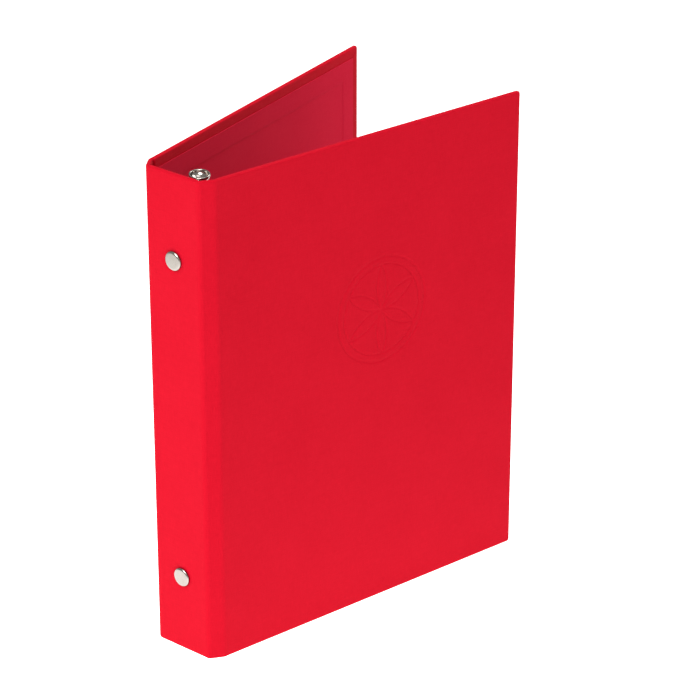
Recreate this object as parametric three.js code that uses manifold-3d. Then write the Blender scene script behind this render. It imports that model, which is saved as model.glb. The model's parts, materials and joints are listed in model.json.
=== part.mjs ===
// A half-letter ring binder in turned-edge book cloth, standing on its lower edges with the covers
// fanned open. Millimetres, +Z up, +Y from the spine towards the fore edges, +X towards the front
// cover. The origin is on the bottom edge of the spine, at the middle of its width and thickness.

import * as THREE from 'three';
import { mergeVertices } from 'three/addons/utils/BufferGeometryUtils.js';
import Module from 'manifold-3d';

// ---------------------------------------------------------------- driving dimensions
const CASE_HEIGHT = 228.6;
const COVER_WIDTH = 171.5;        // from the cover's bend line to the fore edge
const SPINE_WIDTH = 30.2;         // between the two bend lines of the spine
const HINGE_WIDTH = 7.5;          // the strip of bare cloth between two bend lines
const SPINE_BEND = 54.5;          // degrees, spine to hinge strip, as the binder stands
const COVER_BEND = 25.5;          // degrees, hinge strip to cover

const CLOTH = 0.3;
const GLUE = 0.1;
const BOARD = 1.6;
const LINER = 0.2;
const TURN_IN = 14;               // cloth folded over the board's edge, seen from inside
const LINER_INSET = 4.8;          // margin of turned-in cloth left showing round the lining
const BOARD_SETBACK = 2;          // from a bend line to the edge of a board
const CLOTH_SETBACK = 0.3;        // from a bend line to the edge of a panel's cloth
const STRIP_SETBACK = 1.2;        // from a bend line to the hinge strip

const METAL_CENTRE = 112.8;       // height of the ring mechanism's middle
const HOUSING_LENGTH = 188;
const HOUSING_HALF_WIDTH = 10;
const HOUSING_HEIGHT = 7.5;       // above the spine's lining
const HOUSING_SHOULDER = 3.4;     // where the arch starts
const HOUSING_SHEET = 0.7;
const HOOK_DEPTH = 2.4;           // how far the curled lower edge reaches in
const HOOK_TIP = 2.2;
const METAL_GAP = 0.3;            // between pieces of the mechanism

const BLADE_LENGTH = 172;
const BLADE_SHEET = 1.0;
const BLADE_PIVOT_X = 8.5;
const BLADE_PIVOT_UP = 3.2;       // above the spine's lining
const BLADE_REACH = 8.25;         // pivot to inner edge
const BLADE_DIP = 6.5;            // degrees, inner edges below the pivots with the rings shut

const RING_PITCH = 69.85;
const RING_RADIUS = 10.75;        // centre line of the wire
const WIRE_RADIUS = 1.25;
const RING_CENTRE_UP = 12;
const RING_TIP_GAP = 0.3;
const RING_FOOT_ANGLE = -62;      // degrees, where the wire's centre line stops before trimming

const RIVET_PITCH = 152.4;
const RIVET_HEAD_RADIUS = 4.4;
const RIVET_HEAD_HEIGHT = 1.1;
const SHANK_RADIUS = 1.8;
const SHANK_BORE = 1.2;
const RIVET_HOLE = 2.1;
const FLARE_RADIUS = 3.1;
const FLARE_HEIGHT = 0.7;
const POST_RADIUS = 3;

const LEVER_PIVOT = 90;           // from the mechanism's middle
const LEVER_SHEET = 0.9;
const LEVER_WIDTH = 10;
const TONGUE_WIDTH = 2.4;
const TONGUE_UP = 0.9;            // middle of the tongue above the lining
const TONGUE_SHEET = 0.7;
const TONGUE_REACH = 6;           // from the lever's pivot to the tongue's end, under the blades
const HUB_RADIUS = 1.1;
const HUB_WIDTH = 14.4;
const TRUNNION_RADIUS = 0.7;
const TRUNNION_WIDTH = 18;
const CUP_RADIUS = 4.15;
const CUP_DEPTH = 3.4;
const CUP_WALL = 0.7;
const CUP_SPREAD = 1.22;          // width over length
const CUP_OUT = 110.4;            // rim's middle from the mechanism's middle
const CUP_UP = 14.3;              // rim's middle above the lining
const CUP_TILT = 8;               // degrees, rim leaning towards the spine

const CASE_THICKNESS = BOARD + 2 * (CLOTH + GLUE);
const OUTER_FACE = -CASE_THICKNESS / 2;
const INNER_FACE = CASE_THICKNESS / 2 + GLUE + LINER;
const SIDES = { front: 1, back: -1 };
const ENDS = { top: 1, bottom: -1 };

const ROUND_SIDES = 20;
const SWEEP_SIDES = 10;
const SWEEP_STEPS = 20;
const ARCH_STEPS = 14;
const OVERCUT = 5;                // how far a cutter reaches past what it cuts

// ---------------------------------------------------------------- materials
const paint = (color, roughness, metalness) =>
  new THREE.MeshStandardMaterial({ color, roughness, metalness });
const cloth = () => paint(0xdd1a30, 0.75, 0);
const lining = () => paint(0xa81830, 0.85, 0);
const greyboard = () => paint(0x9c948a, 0.95, 0);
const nickel = () => paint(0xd8d6d2, 0.22, 1);
const steel = () => paint(0xb9b8b5, 0.35, 1);

// ---------------------------------------------------------------- solids
const wasm = await Module();
wasm.setup();

/** A closed three.js geometry as a manifold solid. */
function solid(geometry) {
  const bare = geometry.clone();
  bare.deleteAttribute('normal');
  bare.deleteAttribute('uv');
  const merged = mergeVertices(bare, 1e-4);
  return new wasm.Manifold(new wasm.Mesh({
    numProp: 3,
    vertProperties: new Float32Array(merged.attributes.position.array),
    triVerts: new Uint32Array(merged.index.array),
  }));
}

/** A manifold solid as a three.js geometry. */
function geometryOf(body) {
  const { vertProperties, triVerts } = body.getMesh();
  const geometry = new THREE.BufferGeometry();
  geometry.setAttribute('position', new THREE.BufferAttribute(new Float32Array(vertProperties), 3));
  geometry.setIndex(new THREE.BufferAttribute(new Uint32Array(triVerts), 1));
  geometry.computeVertexNormals();
  return geometry;
}

/** A box between two corners, given in any order. */
function box([ax, ay, az], [bx, by, bz]) {
  const geometry = new THREE.BoxGeometry(Math.abs(bx - ax), Math.abs(by - ay), Math.abs(bz - az));
  return geometry.translate((ax + bx) / 2, (ay + by) / 2, (az + bz) / 2);
}

/** A round bar along Y from y0 to y1, its axis at (x, z). */
function barAlongY(radius, y0, y1, x, z) {
  return new THREE.CylinderGeometry(radius, radius, y1 - y0, ROUND_SIDES)
    .translate(x, (y0 + y1) / 2, z);
}

/** A round bar along X, centred on the Z axis at (y, z). */
function barAlongX(radius, width, y, z) {
  return new THREE.CylinderGeometry(radius, radius, width, ROUND_SIDES)
    .rotateZ(Math.PI / 2)
    .translate(0, y, z);
}

/** A flat outline in X and Y, extruded along Z and centred on z = 0. */
function prism(points, length) {
  const shape = new THREE.Shape(points.map(([x, y]) => new THREE.Vector2(x, y)));
  return new THREE.ExtrudeGeometry(shape, { depth: length, bevelEnabled: false })
    .translate(0, 0, -length / 2);
}

/** A flat outline in Y and Z, extruded along X and centred on x = 0. */
function plateAcrossX(points, width) {
  const turned = prism(points, width);
  return turned.applyMatrix4(new THREE.Matrix4().set(
    0, 0, 1, 0,
    1, 0, 0, 0,
    0, 1, 0, 0,
    0, 0, 0, 1,
  ));
}

/** The outline of a bent strip of sheet that follows a centre line. */
function ribbon(centre, sheet) {
  const offset = (side) => centre.map((point, i) => {
    const before = centre[Math.max(i - 1, 0)];
    const after = centre[Math.min(i + 1, centre.length - 1)];
    const along = new THREE.Vector2(after[0] - before[0], after[1] - before[1]).normalize();
    return [point[0] - along.y * side * sheet / 2, point[1] + along.x * side * sheet / 2];
  });
  return [...offset(-1), ...offset(1).reverse()];
}

const radians = THREE.MathUtils.degToRad;

function piece(parent, name, geometry, material) {
  const mesh = new THREE.Mesh(geometry, material);
  mesh.name = name;
  parent.add(mesh);
  return mesh;
}

// ---------------------------------------------------------------- layers of the case
// A panel's own frame: X along the panel, Y from its outer face inwards, Z up.
const BOARD_IN = CLOTH + GLUE;
const FOLD_IN = BOARD_IN + BOARD + GLUE;
const LINER_IN = CASE_THICKNESS + GLUE;
const CASE_EDGE = CLOTH + GLUE;    // from the cloth's outer edge to the edge of a board

/** Cloth over a panel's outer face and round its edges, with a turn-in on its inner face. */
function turnedCloth(x0, x1, side, foreEdge) {
  const start = x0 - side * OVERCUT;
  const cavityEnd = foreEdge ? x1 - side * CLOTH : x1 + side * OVERCUT;
  const windowEnd = foreEdge ? x1 - side * TURN_IN : x1 + side * OVERCUT;
  return solid(box([x0, 0, 0], [x1, CASE_THICKNESS, CASE_HEIGHT]))
    .subtract(solid(box([start, CLOTH, CLOTH], [cavityEnd, FOLD_IN, CASE_HEIGHT - CLOTH])))
    .subtract(solid(box(
      [start, BOARD_IN, TURN_IN],
      [windowEnd, CASE_THICKNESS + OVERCUT, CASE_HEIGHT - TURN_IN],
    )));
}

function liningSheet(x0, x1) {
  return box([x0, LINER_IN, LINER_INSET], [x1, LINER_IN + LINER, CASE_HEIGHT - LINER_INSET]);
}

/** The cover of one side, hung on its hinge strip, which hangs on the spine. */
function addCover(binder, name, side) {
  const hinge = new THREE.Group();
  hinge.position.set(side * SPINE_WIDTH / 2, OUTER_FACE, 0);
  hinge.rotation.z = side * radians(SPINE_BEND);
  binder.add(hinge);

  const strip = [STRIP_SETBACK, HINGE_WIDTH - STRIP_SETBACK].map((x) => side * x);
  const fold = (z0, z1) => solid(box([strip[0], CLOTH / 2, z0], [strip[1], 2 * CLOTH, z1]));
  const sheet = solid(box([strip[0], 0, 0], [strip[1], CLOTH, CASE_HEIGHT]));
  const doubled = sheet
    .add(fold(0, TURN_IN))
    .add(fold(CASE_HEIGHT - TURN_IN, CASE_HEIGHT));
  piece(hinge, `${name}_hinge_cloth`, geometryOf(doubled), cloth());
  const stripLiner = box(
    [strip[0], 2 * CLOTH + GLUE, LINER_INSET],
    [strip[1], 2 * CLOTH + GLUE + LINER, CASE_HEIGHT - LINER_INSET],
  );
  piece(hinge, `${name}_hinge_lining`, stripLiner, lining());

  const cover = new THREE.Group();
  cover.position.set(side * HINGE_WIDTH, 0, 0);
  cover.rotation.z = side * radians(COVER_BEND);
  hinge.add(cover);

  const board = box(
    [side * BOARD_SETBACK, BOARD_IN, CASE_EDGE],
    [side * (COVER_WIDTH - CASE_EDGE), BOARD_IN + BOARD, CASE_HEIGHT - CASE_EDGE],
  );
  piece(cover, `${name}_board`, board, greyboard());
  const wrap = turnedCloth(side * CLOTH_SETBACK, side * COVER_WIDTH, side, true);
  piece(cover, `${name}_cloth`, geometryOf(wrap), cloth());
  const liner = liningSheet(side * BOARD_SETBACK, side * (COVER_WIDTH - LINER_INSET));
  piece(cover, `${name}_lining`, liner, lining());
}

// ---------------------------------------------------------------- spine
const rivetHeights = Object.values(ENDS).map((end) => METAL_CENTRE + end * RIVET_PITCH / 2);

function withRivetHoles(body) {
  return rivetHeights.reduce((rest, z) => rest.subtract(
    solid(barAlongY(RIVET_HOLE, OUTER_FACE - OVERCUT, INNER_FACE + OVERCUT, 0, z)),
  ), body);
}

function addSpine(binder) {
  const half = SPINE_WIDTH / 2;
  const board = box(
    [BOARD_SETBACK - half, OUTER_FACE + BOARD_IN, CASE_EDGE],
    [half - BOARD_SETBACK, OUTER_FACE + BOARD_IN + BOARD, CASE_HEIGHT - CASE_EDGE],
  );
  piece(binder, 'spine_board', geometryOf(withRivetHoles(solid(board))), greyboard());
  const wrap = turnedCloth(CLOTH_SETBACK - half, half - CLOTH_SETBACK, 1, false)
    .translate([0, OUTER_FACE, 0]);
  piece(binder, 'spine_cloth', geometryOf(withRivetHoles(wrap)), cloth());
  const liner = liningSheet(BOARD_SETBACK - half, half - BOARD_SETBACK).translate(0, OUTER_FACE, 0);
  piece(binder, 'spine_lining', geometryOf(withRivetHoles(solid(liner))), lining());
}

// ---------------------------------------------------------------- ring mechanism
// Its own frame: Y up from the spine's lining, Z along the mechanism from its middle.
const ringPlaces = { top: RING_PITCH, middle: 0, bottom: -RING_PITCH };

/** Half an ellipse from (+a, base) over (0, base + b) to (-a, base). */
function archLine(a, b, base) {
  return Array.from({ length: ARCH_STEPS + 1 }, (_, i) => {
    const turn = Math.PI * i / ARCH_STEPS;
    return [a * Math.cos(turn), base + b * Math.sin(turn)];
  });
}

/** The sprung steel cover: an arch whose lower edges curl in and up under the blades. */
function housing() {
  const wall = HOUSING_HALF_WIDTH - HOUSING_SHEET;
  const hookOuter = HOUSING_HALF_WIDTH - HOOK_DEPTH;
  const hookInner = hookOuter + HOUSING_SHEET;
  const floor = METAL_GAP + HOUSING_SHEET;
  const leftHook = [
    [-HOUSING_HALF_WIDTH, METAL_GAP], [-hookOuter, METAL_GAP], [-hookOuter, HOOK_TIP],
    [-hookInner, HOOK_TIP], [-hookInner, floor], [-wall, floor],
  ];
  const rightHook = leftHook.map(([x, y]) => [-x, y]).reverse();
  const rise = HOUSING_HEIGHT - HOUSING_SHOULDER;
  const outline = [
    ...archLine(HOUSING_HALF_WIDTH, rise, HOUSING_SHOULDER),
    ...leftHook,
    ...archLine(wall, rise - HOUSING_SHEET, HOUSING_SHOULDER).reverse(),
    ...rightHook,
  ];
  let body = solid(prism(outline, HOUSING_LENGTH));
  const slotHalf = WIRE_RADIUS + 2 * METAL_GAP;
  const slotInner = 4.6;
  const slotFoot = 2.9;
  for (const z of Object.values(ringPlaces)) {
    for (const side of Object.values(SIDES)) {
      body = body.subtract(solid(box(
        [side * slotInner, slotFoot, z - slotHalf],
        [side * (HOUSING_HALF_WIDTH + OVERCUT), HOUSING_HEIGHT + OVERCUT, z + slotHalf],
      )));
    }
  }
  for (const end of Object.values(ENDS)) {
    body = body.subtract(solid(
      barAlongY(RIVET_HOLE, HOUSING_SHOULDER, HOUSING_HEIGHT + OVERCUT, 0, end * RIVET_PITCH / 2),
    ));
  }
  return geometryOf(body);
}

/** One blade in its pivot's frame: flat strip with a round outer edge and gaps for the posts. */
function blade(side) {
  const half = BLADE_SHEET / 2;
  const roundEdge = Array.from({ length: 7 }, (_, i) => {
    const turn = Math.PI * (i / 6 - 0.5);
    return [half * Math.cos(turn), half * Math.sin(turn)];
  });
  const outline = [[-BLADE_REACH, -half], ...roundEdge, [-BLADE_REACH, half]];
  const mirrored = side > 0 ? outline : outline.map(([x, y]) => [-x, y]).reverse();
  const gapHalf = POST_RADIUS + 2 * METAL_GAP;
  const gapDepth = BLADE_PIVOT_X - gapHalf;
  return geometryOf(Object.values(ENDS).reduce((rest, end) => rest.subtract(solid(box(
    [-side * gapDepth, -OVERCUT, end * RIVET_PITCH / 2 - gapHalf],
    [-side * (BLADE_REACH + OVERCUT), OVERCUT, end * RIVET_PITCH / 2 + gapHalf],
  ))), solid(prism(mirrored, BLADE_LENGTH))));
}

/** The circle that a ring half's wire follows, from the tip on the middle plane to the foot. */
class RingLine extends THREE.Curve {
  constructor(side) {
    super();
    this.side = side;
    this.start = Math.PI / 2 - RING_TIP_GAP / 2 / RING_RADIUS;
    this.end = radians(RING_FOOT_ANGLE);
  }

  getPoint(t, target = new THREE.Vector3()) {
    const turn = this.start + (this.end - this.start) * t;
    return target.set(
      this.side * RING_RADIUS * Math.cos(turn),
      RING_CENTRE_UP + RING_RADIUS * Math.sin(turn),
      0,
    );
  }
}

/** One ring half, its foot trimmed to stand just clear of the blade that carries it. */
function ringHalf(side) {
  const wire = new THREE.Shape().absarc(0, 0, WIRE_RADIUS, 0, 2 * Math.PI);
  const sweep = new THREE.ExtrudeGeometry(wire, {
    steps: SWEEP_STEPS,
    curveSegments: SWEEP_SIDES / 2,
    extrudePath: new RingLine(side),
  });
  const bladeTop = BLADE_SHEET / 2 + METAL_GAP;
  const below = box(
    [-3 * RING_RADIUS, bladeTop - 2 * RING_RADIUS, -OVERCUT],
    [3 * RING_RADIUS, bladeTop, OVERCUT],
  ).rotateZ(side * radians(BLADE_DIP)).translate(side * BLADE_PIVOT_X, BLADE_PIVOT_UP, 0);
  return geometryOf(solid(sweep).subtract(solid(below)));
}

/** A rivet along Y: domed head outside the spine, hollow shank, flared end on the housing. */
function rivet() {
  const face = OUTER_FACE - INNER_FACE - GLUE;
  const seat = HOUSING_HEIGHT + GLUE;
  const domeSteps = 8;
  const rim = 0.5;
  const dome = Array.from({ length: domeSteps + 1 }, (_, i) => {
    const turn = Math.PI / 2 * (1 - i / domeSteps);
    return [
      RIVET_HEAD_RADIUS * Math.cos(turn),
      face - rim - (RIVET_HEAD_HEIGHT - rim) * Math.sin(turn),
    ];
  });
  const profile = [
    ...dome,
    [RIVET_HEAD_RADIUS, face],
    [SHANK_RADIUS, face],
    [SHANK_RADIUS, seat],
    [FLARE_RADIUS, seat],
    [FLARE_RADIUS - FLARE_HEIGHT / 2, seat + FLARE_HEIGHT],
    [SHANK_BORE + FLARE_HEIGHT / 2, seat + FLARE_HEIGHT],
    [SHANK_BORE, seat],
    [SHANK_BORE, face + SHANK_RADIUS],
    [0, face + SHANK_RADIUS],
  ];
  return new THREE.LatheGeometry(profile.map(([r, y]) => new THREE.Vector2(r, y)), ROUND_SIDES);
}

/** The spacer tube round a rivet, between the lining and the crown of the housing. */
function post() {
  const top = HOUSING_HEIGHT - HOUSING_SHEET - METAL_GAP;
  const profile = [
    [RIVET_HOLE, METAL_GAP], [POST_RADIUS, METAL_GAP], [POST_RADIUS, top], [RIVET_HOLE, top],
    [RIVET_HOLE, METAL_GAP],
  ];
  return new THREE.LatheGeometry(profile.map(([r, y]) => new THREE.Vector2(r, y)), ROUND_SIDES);
}

/** The cup at a lever's tip: a pressed dish open towards the end of the binder. */
function fingerCup() {
  const steps = 8;
  const bowl = (radius, depth) => Array.from({ length: steps + 1 }, (_, i) => {
    const turn = Math.PI / 2 * i / steps;
    return new THREE.Vector2(radius * Math.sin(turn), -depth * Math.cos(turn));
  });
  const inside = bowl(CUP_RADIUS - CUP_WALL, CUP_DEPTH - CUP_WALL).reverse();
  return new THREE.LatheGeometry([...bowl(CUP_RADIUS, CUP_DEPTH), ...inside], ROUND_SIDES)
    .rotateX(Math.PI / 2 + radians(CUP_TILT))
    .scale(CUP_SPREAD, 1, 1)
    .translate(0, CUP_UP, CUP_OUT);
}

/** The upper lever: tongue under the blades, hub in the housing's end, arm and finger cup. */
function lever() {
  const tongue = [
    [TONGUE_UP, LEVER_PIVOT - TONGUE_REACH], [TONGUE_UP, LEVER_PIVOT - 2],
    [BLADE_PIVOT_UP, LEVER_PIVOT],
  ];
  const arm = [
    [BLADE_PIVOT_UP, LEVER_PIVOT], [3.9, LEVER_PIVOT + 6], [5.2, LEVER_PIVOT + 11],
    [7.6, LEVER_PIVOT + 16], [CUP_UP - CUP_RADIUS + LEVER_SHEET / 2, CUP_OUT - 0.8],
  ];
  return solid(plateAcrossX(ribbon(tongue, TONGUE_SHEET), TONGUE_WIDTH))
    .add(solid(plateAcrossX(ribbon(arm, LEVER_SHEET), LEVER_WIDTH)))
    .add(solid(barAlongX(HUB_RADIUS, HUB_WIDTH, BLADE_PIVOT_UP, LEVER_PIVOT)))
    .add(solid(barAlongX(TRUNNION_RADIUS, TRUNNION_WIDTH, BLADE_PIVOT_UP, LEVER_PIVOT)))
    .add(solid(fingerCup()));
}

function addMechanism(binder) {
  const metal = new THREE.Group();
  metal.position.set(0, INNER_FACE, METAL_CENTRE);
  binder.add(metal);

  piece(metal, 'ring_housing', housing(), nickel());
  for (const [name, side] of Object.entries(SIDES)) {
    const carrier = piece(metal, `${name}_blade`, blade(side), steel());
    carrier.position.set(side * BLADE_PIVOT_X, BLADE_PIVOT_UP, 0);
    carrier.rotation.z = side * radians(BLADE_DIP);
    for (const [place, z] of Object.entries(ringPlaces)) {
      piece(metal, `${name}_ring_${place}`, ringHalf(side), nickel()).position.z = z;
    }
  }
  for (const [name, end] of Object.entries(ENDS)) {
    piece(metal, `${name}_rivet`, rivet(), nickel()).position.z = end * RIVET_PITCH / 2;
    piece(metal, `${name}_post`, post(), steel()).position.z = end * RIVET_PITCH / 2;
    const trigger = end > 0 ? lever() : lever().mirror([0, 0, 1]);
    piece(metal, `${name}_lever`, geometryOf(trigger), nickel());
  }
}

// ---------------------------------------------------------------- the binder
const binder = new THREE.Group();
addSpine(binder);
for (const [name, side] of Object.entries(SIDES)) {
  addCover(binder, name, side);
}
addMechanism(binder);

export default binder;
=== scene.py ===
"""The looks of a half-letter ring binder: cloth case, lining, ring mechanism, studio and camera.
Metres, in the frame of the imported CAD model. The case is drawn as one sheet of book cloth, unrolled
from the middle of the spine: s runs along the sheet to the fore edge, z up, depth into the board."""

import json
import math

import bmesh
import bpy
import numpy as np
from mathutils import Matrix, Vector


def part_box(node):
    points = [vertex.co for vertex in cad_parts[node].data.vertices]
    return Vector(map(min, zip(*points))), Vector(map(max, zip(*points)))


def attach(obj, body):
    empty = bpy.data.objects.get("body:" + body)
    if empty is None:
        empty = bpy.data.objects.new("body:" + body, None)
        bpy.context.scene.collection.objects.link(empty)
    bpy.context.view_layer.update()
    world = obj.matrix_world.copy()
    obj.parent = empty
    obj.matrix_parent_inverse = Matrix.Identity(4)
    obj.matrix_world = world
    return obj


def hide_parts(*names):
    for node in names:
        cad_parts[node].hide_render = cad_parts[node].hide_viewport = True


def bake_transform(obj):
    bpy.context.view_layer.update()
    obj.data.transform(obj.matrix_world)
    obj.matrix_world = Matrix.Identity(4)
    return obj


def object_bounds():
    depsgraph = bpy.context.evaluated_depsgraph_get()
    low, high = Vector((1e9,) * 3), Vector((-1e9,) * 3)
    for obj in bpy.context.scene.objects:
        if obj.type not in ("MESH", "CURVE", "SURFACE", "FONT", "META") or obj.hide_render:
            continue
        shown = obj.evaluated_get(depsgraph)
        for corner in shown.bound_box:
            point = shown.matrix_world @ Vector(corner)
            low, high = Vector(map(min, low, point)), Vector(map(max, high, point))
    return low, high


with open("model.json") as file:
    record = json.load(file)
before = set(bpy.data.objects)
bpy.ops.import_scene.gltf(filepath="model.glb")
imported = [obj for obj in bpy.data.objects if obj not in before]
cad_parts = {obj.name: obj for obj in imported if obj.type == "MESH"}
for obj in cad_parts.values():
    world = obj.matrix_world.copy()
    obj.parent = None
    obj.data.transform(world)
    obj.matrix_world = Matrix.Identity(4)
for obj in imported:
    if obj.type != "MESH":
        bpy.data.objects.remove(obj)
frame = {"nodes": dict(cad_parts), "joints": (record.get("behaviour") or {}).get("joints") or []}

MM = 0.001
SIDES = {"front": 1, "back": -1}
ENDS = {"top": 1, "bottom": -1}
JOINTS = {joint["name"]: joint for joint in frame["joints"]}
cad_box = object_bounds()
CAD_LOW, CAD_HIGH = (Vector(corner) for corner in cad_box)

# ------------------------------------------------------------------ sizes
HEIGHT = CAD_HIGH.z - CAD_LOW.z
SPINE_LOW, SPINE_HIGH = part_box("spine_cloth")
OUTER_Y = SPINE_LOW.y                      # outer face of the spine
CASE_THICKNESS = SPINE_HIGH.y - SPINE_LOW.y
LINING_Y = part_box("spine_lining")[1].y     # inner face of the spine's lining
LINER_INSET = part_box("spine_lining")[0].z
COVER_WIDTH = 171.5 * MM                   # bend line to fore edge
TURN_IN = 14 * MM
TURN_FLAT = 2.5 * MM                       # from an edge to where the turned-in cloth lies flat
BOARD_SETBACK = 2.0 * MM                   # bend line to the edge of a board

SPINE_BEND = math.radians(54.5)
COVER_BEND = math.radians(25.5)
SPINE_RADIUS = 3.0 * MM                    # of the outer face at a spine crease
COVER_RADIUS = 5.0 * MM
CLOTH = 0.28 * MM
LINER = 0.3 * MM
LINER_DROP = 0.22 * MM                     # where it leaves the turned-in cloth
LINER_RISE = 0.3 * MM                      # above the turned-in cloth
HINGE_THICKNESS = 1.9 * MM                 # cloth on cloth, with no board between
GROOVE_SLOPE = 0.8 * MM
EDGE_RADIUS = 0.95 * MM
CORNER_RADIUS = 1.3 * MM
MITRE_DEPTH = 0.16 * MM
MITRE_STATIONS = (0, 0.3 * MM, 1.0 * MM, 4.0 * MM)  # from a corner of the flat face's grid
FACE_INSET = 5.0 * MM                      # from an edge to where the flat face's grid starts
SEAM_ON_SPINE = 8.5 * MM                   # where the spine's own cloth piece ends

EMBLEM_CENTRE = (90.5 * MM, 144.5 * MM)    # from the cover's bend line, from the foot
EMBLEM_RADIUS = 25.0 * MM
EMBLEM_DEPTH = 0.16 * MM
PETALS = 6

GRID = 8 * MM                              # spacing of stations on plain stretches
FINE = 0.2 * MM                            # and at creases and the edge of the turned-in cloth
STAMP_GRID = 0.33 * MM
STAMP_REACH = EMBLEM_RADIUS + 1.5 * MM
RIVET_GRID = 0.6 * MM
RIVET_REACH = 9 * MM
FORE_RUN = 20 * MM                         # of the stations that follow the turned-in edges
ARC_STEPS = 7                              # round an edge of a board
CORNER_STEPS = 5                           # round a corner of a cover

RIVET_BOXES = {name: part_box(f"{name}_rivet") for name in ENDS}
RIVET_HEIGHTS = [(low.z + high.z) / 2 for low, high in RIVET_BOXES.values()]
RIVET_RADIUS = RIVET_BOXES["top"][1].x
DIMPLE_DEPTH = 0.28 * MM
DIMPLE_REACH = 1.2 * MM

CREASE = Vector(JOINTS["front_spine_crease"]["pos_m"])
COVER_CREASE = Vector(JOINTS["front_cover_crease"]["pos_m"])
S_CREASE = CREASE.x
S_COVER = S_CREASE + (COVER_CREASE - CREASE).length
S_STRIP = (S_CREASE + S_COVER) / 2
S_FORE = S_COVER + COVER_WIDTH


def smooth(value):
    """0 below 0, 1 above 1 and an even S between them."""
    value = min(max(value, 0.0), 1.0)
    return value * value * (3 - 2 * value)


# ------------------------------------------------------------------ plan of the case
def bend_point(start, heading, radius, turned):
    """Where an arc that leaves start at heading is after turning that far, and its heading there."""
    along = Vector((math.cos(heading), math.sin(heading)))
    inward = Vector((-along.y, along.x))
    point = start + radius * (math.sin(turned) * along + (1 - math.cos(turned)) * inward)
    return point, heading + turned


def plan(s):
    """The outer face at s along the unrolled cloth, and its heading, both seen from above."""
    s = abs(s)
    heading = 0.0
    corner = Vector((0.0, OUTER_Y))
    done = 0.0
    for crease, bend, radius in (
        (S_CREASE, SPINE_BEND, SPINE_RADIUS),
        (S_COVER, COVER_BEND, COVER_RADIUS),
    ):
        tangent = radius * math.tan(bend / 2)
        along = Vector((math.cos(heading), math.sin(heading)))
        if s < crease - tangent:
            return corner + (s - done) * along, heading
        if s < crease + tangent:
            start = corner + (crease - tangent - done) * along
            return bend_point(start, heading, radius, bend * (s - crease + tangent) / (2 * tangent))
        corner = corner + (crease - done) * along
        done = crease
        heading += bend
    return corner + (s - done) * Vector((math.cos(heading), math.sin(heading))), heading


def slab(s):
    """Thickness of the case at s: thin over the hinge, full over a board."""
    s = abs(s)
    spine_side = smooth((S_CREASE - BOARD_SETBACK + GROOVE_SLOPE - s) / GROOVE_SLOPE)
    cover_side = smooth((s - S_COVER - BOARD_SETBACK + GROOVE_SLOPE) / GROOVE_SLOPE)
    return HINGE_THICKNESS + (CASE_THICKNESS - HINGE_THICKNESS) * max(spine_side, cover_side)


def place(s, depth, z, side=1):
    """The point at s and z on the cloth, depth behind the outer face."""
    point, heading = plan(s)
    x = point.x - math.sin(heading) * depth
    y = point.y + math.cos(heading) * depth
    return Vector((math.copysign(1, s) * side * x, y, z)) if s else Vector((0, y, z))


# ------------------------------------------------------------------ mesh helpers
def steps(start, end, size):
    """Even stations from start to end, no further apart than size."""
    count = max(1, math.ceil(abs(end - start) / size - 1e-9))
    return [start + (end - start) * i / count for i in range(count + 1)]


def joined(*runs):
    """Station lists end to end, each shared station once."""
    out = []
    for run in runs:
        out += [value for value in run if not out or abs(value - out[-1]) > 1e-7]
    return out


def make_object(name, verts, faces, flat=None):
    """A mesh object. flat holds each vertex's place on the unrolled cloth."""
    mesh = bpy.data.meshes.new(name)
    mesh.from_pydata([tuple(v) for v in verts], [], faces)
    if flat is not None:
        weave = mesh.attributes.new("weave", "FLOAT_VECTOR", "POINT")
        weave.data.foreach_set("vector", np.array(flat, np.float32).ravel())
    obj = bpy.data.objects.new(name, mesh)
    bpy.context.scene.collection.objects.link(obj)
    return obj


def clean(obj, distance=1e-6):
    """Merges doubled vertices and drops the faces that collapse."""
    bm = bmesh.new()
    bm.from_mesh(obj.data)
    bmesh.ops.remove_doubles(bm, verts=bm.verts, dist=distance)
    bmesh.ops.dissolve_degenerate(bm, edges=bm.edges, dist=distance / 10)
    bm.to_mesh(obj.data)
    bm.free()


def settle(obj):
    """Applies the object's modifiers."""
    bpy.context.view_layer.update()
    graph = bpy.context.evaluated_depsgraph_get()
    mesh = bpy.data.meshes.new_from_object(obj.evaluated_get(graph), depsgraph=graph)
    obj.modifiers.clear()
    obj.data = mesh


def shade(obj, angle=35):
    """Smooth shading, but for edges sharper than the angle."""
    obj.data.shade_smooth()
    obj.data.set_sharp_from_angle(angle=math.radians(angle))


def thicken(obj, thickness, offset=-1.0):
    """Gives a sheet its thickness, behind its face."""
    modifier = obj.modifiers.new("thickness", "SOLIDIFY")
    modifier.thickness = thickness
    modifier.offset = offset
    settle(obj)


def bevel(obj, width, segments=2, angle=40):
    """Rounds the edges that are sharper than the angle."""
    modifier = obj.modifiers.new("edges", "BEVEL")
    modifier.width = width
    modifier.segments = segments
    modifier.limit_method = "ANGLE"
    modifier.angle_limit = math.radians(angle)
    settle(obj)


def grid_faces(rows, columns, first=0, flip=False):
    """Quads of a grid stored row by row."""
    faces = []
    for r in range(rows - 1):
        for c in range(columns - 1):
            a = first + r * columns + c
            quad = (a, a + 1, a + columns + 1, a + columns)
            faces.append(quad[::-1] if flip else quad)
    return faces


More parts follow.
